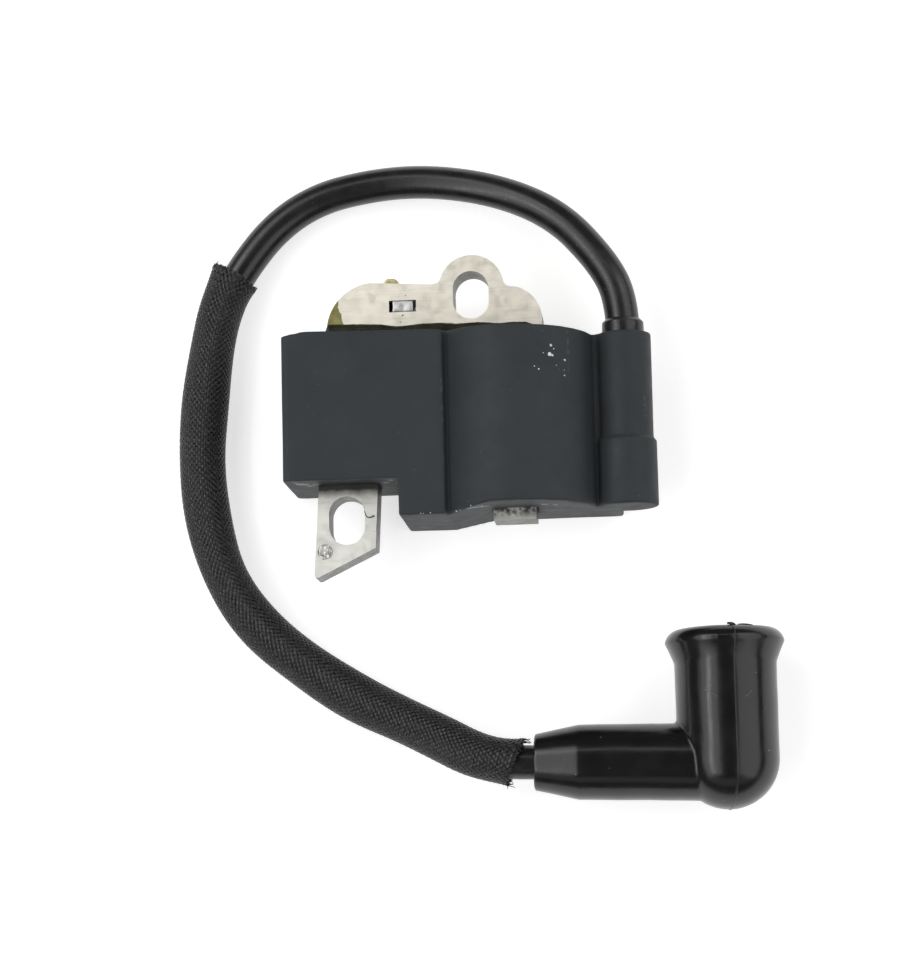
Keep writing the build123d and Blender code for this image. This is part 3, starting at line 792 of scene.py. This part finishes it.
def make_specks(case):
    """White specks on the front, and dull resin smeared on the underside."""
    skin = BVHTree.FromObject(case, bpy.context.evaluated_depsgraph_get())
    specks = blobs("paint_specks", PAINT_SPOTS, skin, Vector((0, 0, -1)), 3)
    finished(specks, "coil", "case_plastic", LOOKS["paint"])
    smears = blobs("resin_smears", UNDERSIDE_SMEARS, skin, Vector((0, 1, 0)), 5)
    finished(smears, "coil", "resin", LOOKS["smear"])


# ---- core details -------------------------------------------------------------------------------
def make_core_details():
    """The key's rounded tab, the dot under it, the stake's rough head, and the burr by the lower slot."""
    key = moulded("key", [node_mesh("core_key")], 0.10 * MM, 24)
    uneven(key, 0.08 * MM, 0.9 * MM, 2)
    finished(key, "coil", "core_steel", LOOKS["key_steel"], "core_key")

    stake = moulded("stake", [node_mesh("core_stake")], 0.08 * MM, 3)
    uneven(stake, 0.16 * MM, 0.45 * MM, 5)
    finished(stake, "coil", "core_steel", LOOKS["stake_steel"], "core_stake")

    burr = [(-14.4, -14.8), (-15.02, -15.15), (-15.69, -14.9), (-15.85, -14.0)]
    dot = [(-9.72, 14.98), (-9.62, 15.0), (-9.52, 14.98)]
    lines = [[(x * MM, y * MM, YOKE_FACE) for x, y in mark] for mark in (burr, dot)]
    marks = threads("core_marks", lines, 0.15 * MM)
    finished(marks, "coil", "core_steel", LOOKS["scratch"])


# ---- resin --------------------------------------------------------------------------------------
RESIN_LEFT = -21.15 * MM
RESIN_RIGHT = 11.0 * MM
RESIN_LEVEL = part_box("potting_resin")[1].y


def resin_edge(x):
    """How high the resin creeps up the yoke's face at x."""
    dip = 0.42 * math.exp(-((x + 10.4 * MM) / (1.9 * MM)) ** 2)
    rise = 0.65 * min(1, max(0, (5 * MM - x) / (25 * MM)))
    ripple = 0.16 * noise.noise(Vector((x / (3.1 * MM), 0, 0)))
    ripple += 0.05 * noise.noise(Vector((x / (0.7 * MM), 3, 0)))
    return RESIN_LEVEL + (2.45 + rise - dip + ripple) * MM


def make_meniscus():
    """The resin between the rim and the yoke, which climbs the yoke's face in a ragged edge."""
    steps = 180
    rows = 14
    taper = 14
    behind = YOKE_FACE - 0.05 * MM
    bottom = RESIN_LEVEL - 0.8 * MM
    vertices = []
    faces = []
    for i in range(steps + 1):
        x = RESIN_LEFT + (RESIN_RIGHT - RESIN_LEFT) * i / steps
        ends = min(1, (1 + i) / 3, (steps - i) / taper)
        reach = (0.3 + 2.0 * ends) * MM
        low = RESIN_LEVEL - 0.2 * MM
        top = low + (resin_edge(x) - low) * (0.35 + 0.65 * math.sqrt(ends))
        for j in range(rows + 1):
            away = j / rows
            y = low + (top - low) * (1 - away) ** 3
            y += 0.10 * MM * noise.noise(Vector((x / MM, away * 4, 0))) * away
            vertices.append((x, y, YOKE_FACE + 0.07 * MM + reach * away))
        vertices.append((x, bottom, YOKE_FACE + reach))
        vertices.append((x, bottom, behind))
        vertices.append((x, (top + RESIN_LEVEL) / 2, behind))
        vertices.append((x, top + 0.02 * MM, behind))
    ring = rows + 5
    for i in range(steps):
        for j in range(ring):
            a, b = i * ring + j, i * ring + (j + 1) % ring
            faces.append((a, b, b + ring, a + ring))
    faces.append(tuple(reversed(range(ring))))
    faces.append(tuple(steps * ring + j for j in range(ring)))
    meniscus = mesh_piece("resin_meniscus", vertices, faces)
    return finished(meniscus, "coil", "resin", LOOKS["resin"])


# ---- floor, light and camera --------------------------------------------------------------------
def make_floor():
    size = 3.0
    corners = [(-size, -size, 0), (size, -size, 0), (size, size, 0), (-size, size, 0)]
    floor = mesh_piece("floor", corners, [(0, 1, 2, 3)])
    look = Look("floor_paper", 0.9, Specular_IOR_Level=0.1)
    paper = look.colour(look.noise(0.2), (0.3, (0.60, 0.60, 0.60)), (0.7, (0.63, 0.63, 0.63)))
    look.set("Base Color", paper)
    look.shader.inputs["Emission Color"].default_value = (1, 1, 1, 1)
    look.shader.inputs["Emission Strength"].default_value = 0.65
    floor.data.materials.append(look.material)


def softbox(name, lean, turn, distance, width, length, radiance):
    """A rectangular light that leans from the vertical by lean degrees, towards turn degrees from +X."""
    data = bpy.data.lights.new(name, "AREA")
    data.shape = "RECTANGLE"
    data.size = width
    data.size_y = length
    data.energy = radiance * math.pi * width * length
    lamp = link(name, data)
    lean, turn = math.radians(lean), math.radians(turn)
    out = Vector((math.sin(lean) * math.cos(turn), math.sin(lean) * math.sin(turn), math.cos(lean)))
    sideways = Vector((-math.sin(turn), math.cos(turn), 0))
    down = sideways.cross(out)
    turned = Matrix((down, sideways, out)).transposed().to_4x4()
    lamp.matrix_world = Matrix.Translation(out * distance) @ turned
    return lamp


def make_lights():
    world = bpy.data.worlds.new("studio")
    bpy.context.scene.world = world
    world.use_nodes = True
    tree = world.node_tree
    background = tree.nodes["Background"]
    background.inputs["Color"].default_value = (1, 1, 1, 1)
    seen = tree.nodes.new("ShaderNodeLightPath").outputs["Is Camera Ray"]
    strength = tree.nodes.new("ShaderNodeMapRange")
    strength.inputs["To Min"].default_value = 0.12
    strength.inputs["To Max"].default_value = 1.0
    tree.links.new(seen, strength.inputs["Value"])
    tree.links.new(strength.outputs["Result"], background.inputs["Strength"])
    softbox("left_softbox", 37, 180, 0.7, 0.55, 1.3, 1.6)
    softbox("left_lamp", 37, 180, 0.69, 0.05, 1.0, 6.0)
    softbox("right_softbox", 50, 0, 0.7, 0.65, 1.3, 1.35)
    softbox("far_strip", 32, 90, 0.8, 0.09, 1.6, 1.6)
    softbox("near_strip", 60, -90, 0.9, 0.25, 1.6, 0.4)


def make_camera():
    data = bpy.data.cameras.new("camera")
    data.lens = CAMERA_LENS
    data.sensor_width = 36
    camera = link("camera", data)
    right = CAMERA_FORWARD.cross(CAMERA_UP).normalized()
    up = right.cross(CAMERA_FORWARD).normalized()
    turn = Matrix((right, up, -CAMERA_FORWARD.normalized())).transposed().to_4x4()
    camera.matrix_world = Matrix.Translation(CAMERA_PLACE) @ turn
    bpy.context.scene.camera = camera


# ---- the scene ----------------------------------------------------------------------------------
make_camera()
make_lights()
make_floor()
bpy.context.scene.view_settings.view_transform = "Standard"

for part in frame["record"]["subparts"]:
    piece = frame["nodes"][part["node"]]
    piece.data.materials.clear()
    piece.data.materials.append(LOOKS[part["material_slot"]])

lead, lead_core = make_lead()
lead_line = line_of(lead)
sleeve = make_sleeve(lead_line)
boot = make_boot()
make_boot_details(boot)
case = make_case()
make_grommet()
make_terminal()
make_specks(case)
make_core_details()
make_meniscus()
